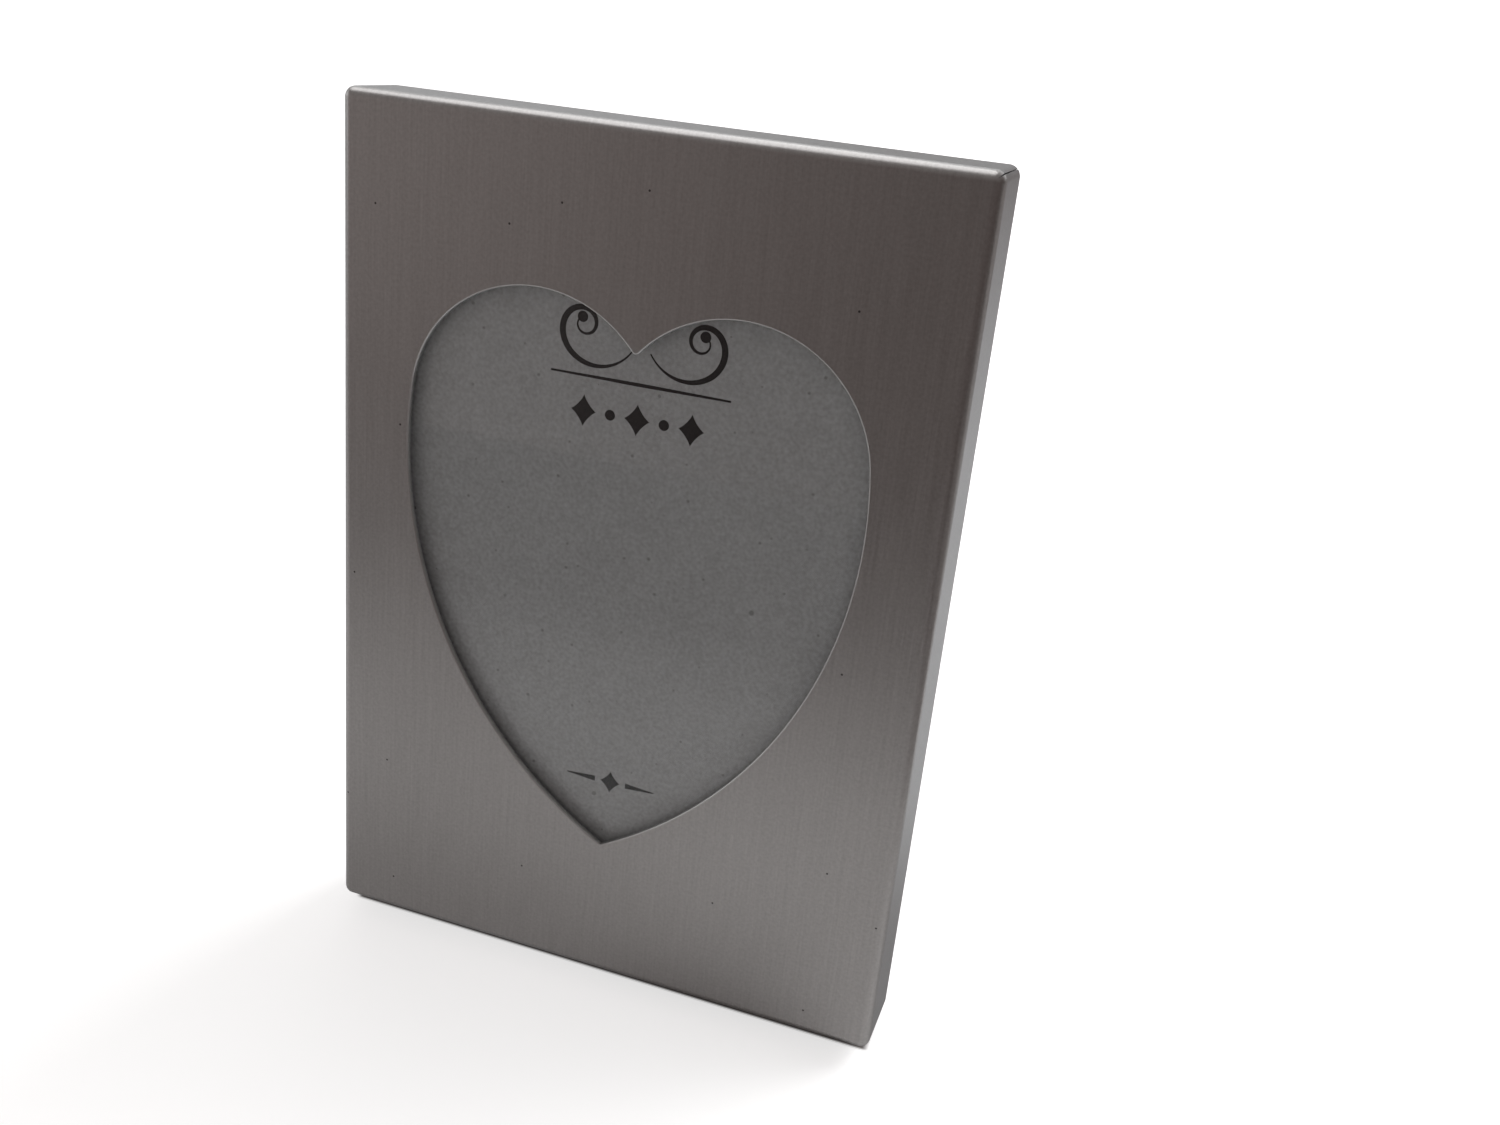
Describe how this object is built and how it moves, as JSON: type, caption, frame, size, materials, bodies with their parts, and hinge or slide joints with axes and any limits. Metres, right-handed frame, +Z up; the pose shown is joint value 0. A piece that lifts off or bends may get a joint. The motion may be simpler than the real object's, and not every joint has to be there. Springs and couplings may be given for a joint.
{
  "type": "photo frame",
  "caption": "Free-standing folded aluminium photo frame with a heart-shaped window, a glazed insert held by turn buttons, and a hinged easel leg behind it.",
  "frame": {"origin": "on the table, under the middle of the whole object's plan with the easel leg open", "axes": "+Z up, +X to the right of someone looking at the window, -Y towards that person"},
  "size_m": [0.062, 0.0354, 0.0861],
  "materials": {
    "satin_aluminium": "satin, finely brushed",
    "tape": "double-sided tape",
    "ring_plastic": "moulded, matt black",
    "clear_glass": "clear, ground edges",
    "insert_paper": "smooth uncoated paper",
    "grey_card": "plain grey board",
    "hardboard": "dark pressed hardboard",
    "black_flock": "short velvet flock",
    "plated_steel": "bright nickel plate"
  },
  "bodies": {
    "frame": {"front_shell": "satin_aluminium", "mounting_tape": "tape", "inner_frame": "ring_plastic", "glass_pane": "clear_glass", "photo_insert": "insert_paper", "filler_card": "grey_card", "back_panel": "hardboard", "back_flock": "black_flock", "hinge_plate": "plated_steel", "hinge_rivets": "plated_steel", "hinge_pin": "plated_steel", "button_screws": "plated_steel"},
    "leg": {"easel_leg": "hardboard", "leg_flock": "black_flock", "leg_hinge_leaf": "plated_steel", "leg_rivets": "plated_steel"},
    "button_1": {"turn_button_1": "plated_steel"},
    "button_2": {"turn_button_2": "plated_steel"},
    "button_3": {"turn_button_3": "plated_steel"},
    "button_4": {"turn_button_4": "plated_steel"}
  },
  "joints": [
    {"name": "leg_fold", "type": "hinge", "parent": "frame", "child": "leg", "pos_m": [0, 0.00626, 0.05978], "axis": [1, 0, 0], "range_deg": [-27.12, 0]},
    {"name": "button_1_turn", "type": "hinge", "parent": "frame", "child": "button_1", "pos_m": [-0.02797, 0.00646, 0.06391], "axis": [0, 0.9537, -0.3007], "range_deg": [-90, 90]},
    {"name": "button_2_turn", "type": "hinge", "parent": "frame", "child": "button_2", "pos_m": [0.02797, 0.00646, 0.06391], "axis": [0, 0.9537, -0.3007], "range_deg": [-90, 90]},
    {"name": "button_3_turn", "type": "hinge", "parent": "frame", "child": "button_3", "pos_m": [-0.02797, -0.00677, 0.02194], "axis": [0, 0.9537, -0.3007], "range_deg": [-90, 90]},
    {"name": "button_4_turn", "type": "hinge", "parent": "frame", "child": "button_4", "pos_m": [0.02797, -0.00677, 0.02194], "axis": [0, 0.9537, -0.3007], "range_deg": [-90, 90]}
  ]
}
